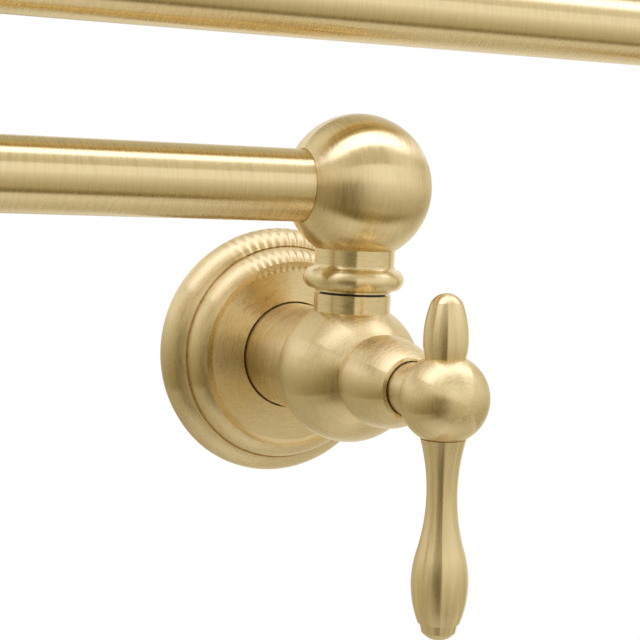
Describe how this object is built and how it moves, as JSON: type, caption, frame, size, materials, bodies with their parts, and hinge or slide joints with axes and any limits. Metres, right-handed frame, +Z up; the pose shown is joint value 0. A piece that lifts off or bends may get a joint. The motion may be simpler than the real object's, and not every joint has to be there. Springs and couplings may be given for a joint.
{
  "type": "wall mounted pot filler",
  "caption": "Double jointed wall mounted pot filler with a round flange, two folding tube arms on ball elbows, a lever valve at each end and a down spout.",
  "frame": {"origin": "on the inlet's axis, at the wall plane where the flange's rim rests", "axes": "+Z up, -Y out of the wall towards the room, +X to the right as seen from the room"},
  "size_m": [0.4409, 0.1295, 0.182],
  "materials": {
    "brushed_gold": "brushed, gold coated",
    "inner_brass": "machined, bare",
    "steel": "machined",
    "rubber": "matte",
    "washer_plastic": "smooth, graphite filled",
    "inner_plastic": "moulded",
    "aerator_plastic": "moulded",
    "ceramic_disc": "lapped"
  },
  "bodies": {
    "base": {"wall_flange": "brushed_gold", "flange_seal": "rubber", "wall_gasket": "rubber", "supply_adapter": "inner_brass", "adapter_seals": "rubber", "inlet_shank": "brushed_gold", "shank_set_screw": "steel", "wall_valve_body": "brushed_gold", "wall_bonnet": "brushed_gold", "wall_cartridge_sleeve": "inner_plastic", "wall_cartridge_seal": "rubber", "wall_seat_seal": "rubber", "wall_fixed_disc": "ceramic_disc", "wall_swivel_post": "inner_brass", "wall_swivel_seals": "rubber", "wall_swivel_washer": "washer_plastic"},
    "wall_handle": {"wall_moving_disc": "ceramic_disc", "wall_spindle": "inner_brass", "wall_spindle_seal": "rubber", "wall_spindle_clip": "steel", "wall_handle_hub": "brushed_gold", "wall_handle_grub_screw": "steel", "wall_finial": "brushed_gold", "wall_lever": "brushed_gold"},
    "lower_arm": {"wall_elbow": "brushed_gold", "wall_swivel_gland": "inner_brass", "lower_arm_tube": "brushed_gold", "lower_arm_far_ball": "brushed_gold", "far_swivel_post": "inner_brass", "far_swivel_seals": "rubber", "far_swivel_washer": "washer_plastic"},
    "upper_arm": {"far_elbow": "brushed_gold", "far_swivel_gland": "inner_brass", "upper_arm_tube": "brushed_gold", "outlet_valve_body": "brushed_gold", "outlet_bonnet": "brushed_gold", "outlet_cartridge_sleeve": "inner_plastic", "outlet_cartridge_seal": "rubber", "outlet_seat_seal": "rubber", "outlet_fixed_disc": "ceramic_disc", "down_spout": "brushed_gold", "aerator_case": "brushed_gold", "aerator_insert": "aerator_plastic", "aerator_washer": "rubber"},
    "outlet_handle": {"outlet_moving_disc": "ceramic_disc", "outlet_spindle": "inner_brass", "outlet_spindle_seal": "rubber", "outlet_spindle_clip": "steel", "outlet_handle_hub": "brushed_gold", "outlet_handle_grub_screw": "steel", "outlet_finial": "brushed_gold", "outlet_lever": "brushed_gold"}
  },
  "joints": [
    {"name": "wall_swivel", "type": "hinge", "parent": "base", "child": "lower_arm", "pos_m": [0, -0.0501, 0.025], "axis": [0, 0, 1], "range_deg": [0, 180]},
    {"name": "far_swivel", "type": "hinge", "parent": "lower_arm", "child": "upper_arm", "pos_m": [-0.24, -0.0501, 0.074], "axis": [0, 0, 1], "continuous": true},
    {"name": "wall_handle_turn", "type": "hinge", "parent": "base", "child": "wall_handle", "pos_m": [0, -0.1003, 0], "axis": [0, 1, 0], "range_deg": [0, 90]},
    {"name": "outlet_handle_turn", "type": "hinge", "parent": "upper_arm", "child": "outlet_handle", "pos_m": [0.1703, -0.0501, 0.0963], "axis": [-1, 0, 0], "range_deg": [0, 90]}
  ]
}
